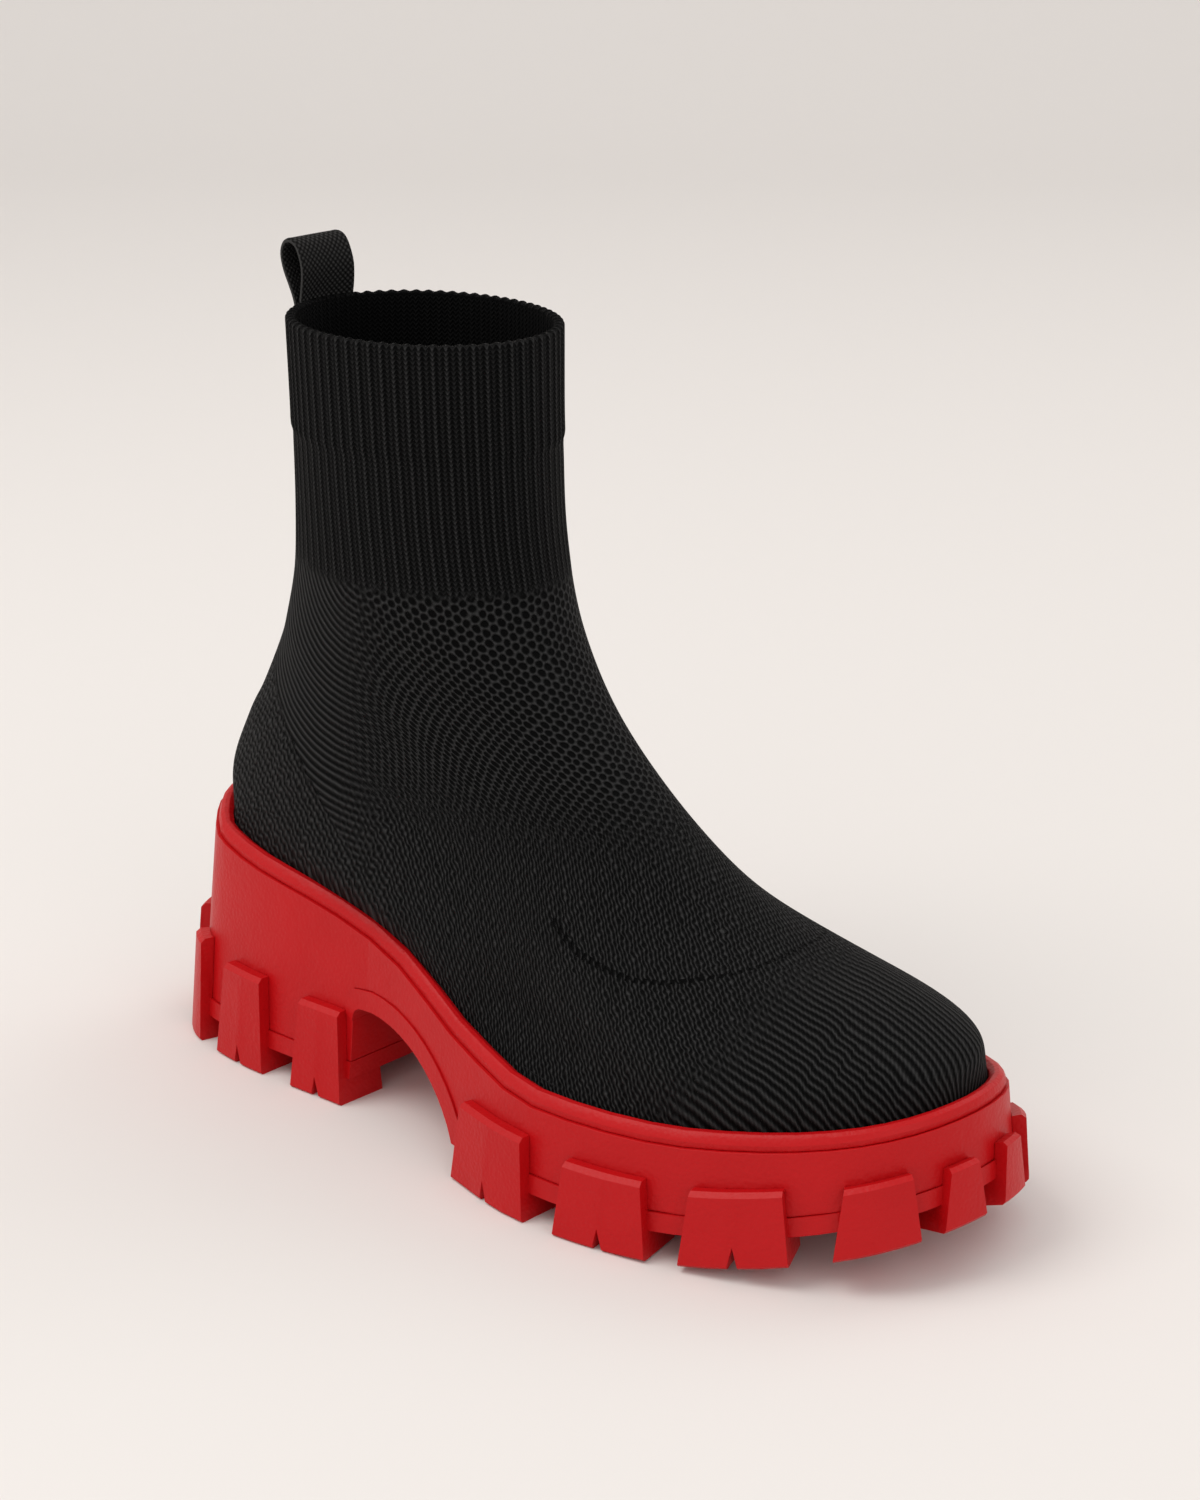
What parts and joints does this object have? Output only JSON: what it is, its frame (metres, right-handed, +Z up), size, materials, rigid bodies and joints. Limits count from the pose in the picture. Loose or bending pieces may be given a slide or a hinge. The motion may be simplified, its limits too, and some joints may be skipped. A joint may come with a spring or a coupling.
{
  "type": "sock boot",
  "caption": "Sock boot for the right foot: hollow knitted upper with a ribbed cuff and pull loop, on a platform sole with a block heel, an arch and lugged tread.",
  "frame": {"origin": "on the floor, under the middle of the boot's bounding box", "axes": "+X from heel to toe, +Y to the wearer's left, which is this foot's inner side, +Z up"},
  "size_m": [0.2845, 0.1172, 0.2372],
  "materials": {
    "platform_rubber": "satin red",
    "tread_rubber": "satin red",
    "heel_tread_rubber": "satin red",
    "strip_rubber": "satin red",
    "insole_foam": "matt black textile",
    "knit": "black rib and mesh knit",
    "webbing": "black basket-weave webbing"
  },
  "bodies": {
    "root": {"platform": "platform_rubber", "tread_forefoot": "tread_rubber", "tread_heel": "heel_tread_rubber", "edge_strip": "strip_rubber", "insole": "insole_foam", "upper": "knit", "pull_loop": "webbing"}
  },
  "joints": []
}
